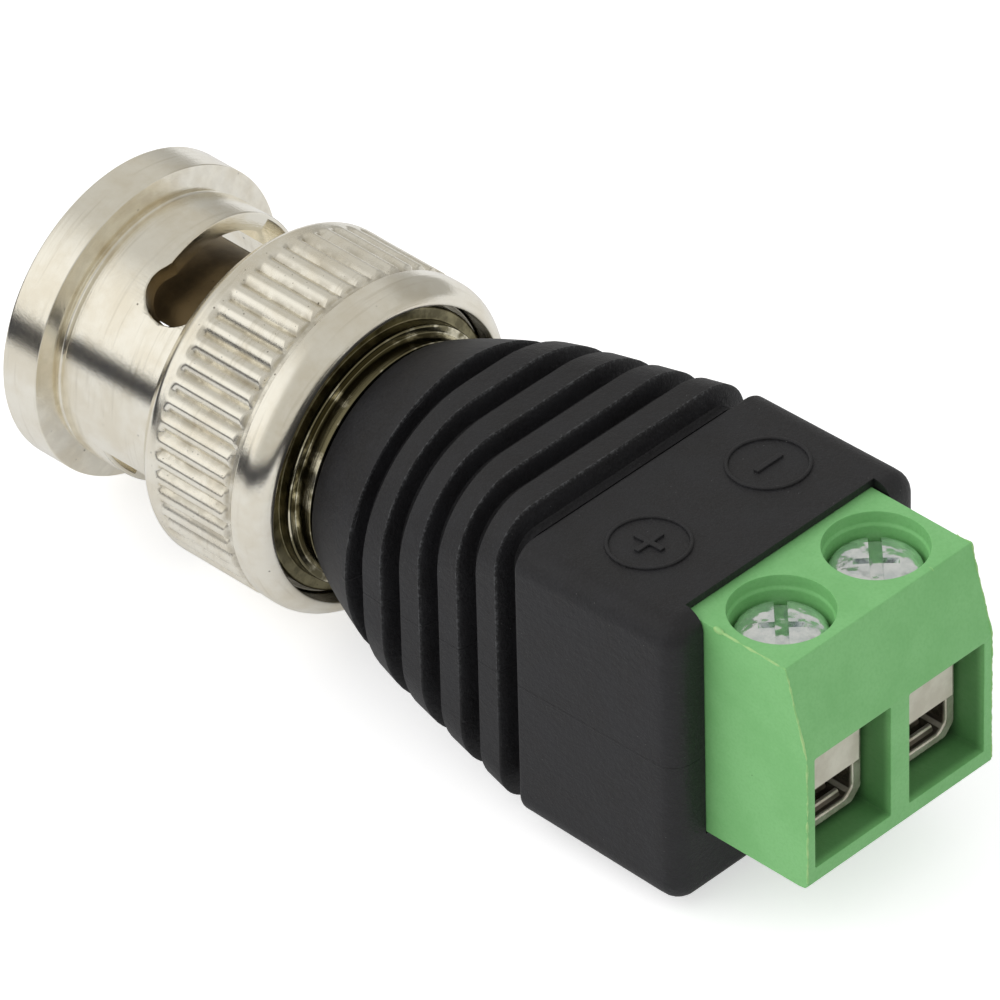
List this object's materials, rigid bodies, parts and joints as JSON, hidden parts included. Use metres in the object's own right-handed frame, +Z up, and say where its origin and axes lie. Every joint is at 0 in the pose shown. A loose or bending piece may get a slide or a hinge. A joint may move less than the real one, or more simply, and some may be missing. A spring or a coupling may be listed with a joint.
{
  "type": "bnc screw terminal adapter",
  "caption": "Bayonet coaxial plug in a ribbed black housing with a green screw terminal block, which clamps bare signal and shield wires to the plug.",
  "frame": {"origin": "middle of the part's underside: half way along its length, below the plug's axis, on the surface that it lies on", "axes": "+X from the bayonet plug to the wire openings of the terminal block, +Z up to the screw heads, the plus pole on the -Y side"},
  "size_m": [0.0404, 0.014, 0.014],
  "materials": {
    "nickel_nut": "nickel plate, slightly warm, with fine turning marks and specks",
    "nickel_body": "nickel plate on turned brass",
    "gold_pin": "thin gold plate",
    "white_insulator": "waxy white insulating plastic",
    "red_gasket": "soft red silicone",
    "spring_steel": "bright spring steel",
    "black_plastic": "matt black moulded plastic with a fine grain",
    "green_plastic": "satin green moulded plastic",
    "zinc_screw": "bright zinc plate",
    "nickel_cage": "bright nickel plate on folded sheet",
    "tin_bar": "dull tin plate",
    "red_lead": "satin insulation",
    "black_lead": "satin insulation"
  },
  "bodies": {
    "body": {"housing": "black_plastic", "plug_body": "nickel_body", "pin_insulator": "white_insulator", "centre_pin": "gold_pin", "sealing_gasket": "red_gasket", "wave_spring": "spring_steel", "rear_bushing": "nickel_body", "terminal_block": "green_plastic", "contact_bar_positive": "tin_bar", "contact_bar_negative": "tin_bar", "signal_lead": "red_lead", "ground_lead": "black_lead"},
    "washer": {"thrust_washer": "spring_steel"},
    "nut": {"coupling_nut": "nickel_nut"},
    "screw_positive": {"clamp_screw_positive": "zinc_screw"},
    "screw_negative": {"clamp_screw_negative": "zinc_screw"},
    "cage_positive": {"clamp_cage_positive": "nickel_cage"},
    "cage_negative": {"clamp_cage_negative": "nickel_cage"}
  },
  "joints": [
    {"name": "nut_draw", "type": "slide", "parent": "body", "child": "washer", "axis": [-1, 0, 0], "range_m": [0, 0.0004], "stiffness_N_per_m": 3000, "deforming": ["wave_spring"]},
    {"name": "nut_turn", "type": "hinge", "parent": "washer", "child": "nut", "pos_m": [-0.01307, 0, 0.007], "axis": [1, 0, 0], "continuous": true},
    {"name": "screw_positive_turn", "type": "hinge", "parent": "body", "child": "screw_positive", "pos_m": [0.01665, -0.00254, 0.0105], "axis": [0, 0, 1], "range_deg": [-1260, 0]},
    {"name": "screw_negative_turn", "type": "hinge", "parent": "body", "child": "screw_negative", "pos_m": [0.01665, 0.00254, 0.0105], "axis": [0, 0, 1], "range_deg": [-1260, 0]},
    {"name": "cage_positive_lift", "type": "slide", "parent": "body", "child": "cage_positive", "axis": [0, 0, 1], "range_m": [0, 0.00175]},
    {"name": "cage_negative_lift", "type": "slide", "parent": "body", "child": "cage_negative", "axis": [0, 0, 1], "range_m": [0, 0.00175]}
  ],
  "couplings": [
    {"joint": "screw_positive_turn", "follows": "cage_positive_lift", "rad_per_m": -12566},
    {"joint": "screw_negative_turn", "follows": "cage_negative_lift", "rad_per_m": -12566}
  ]
}
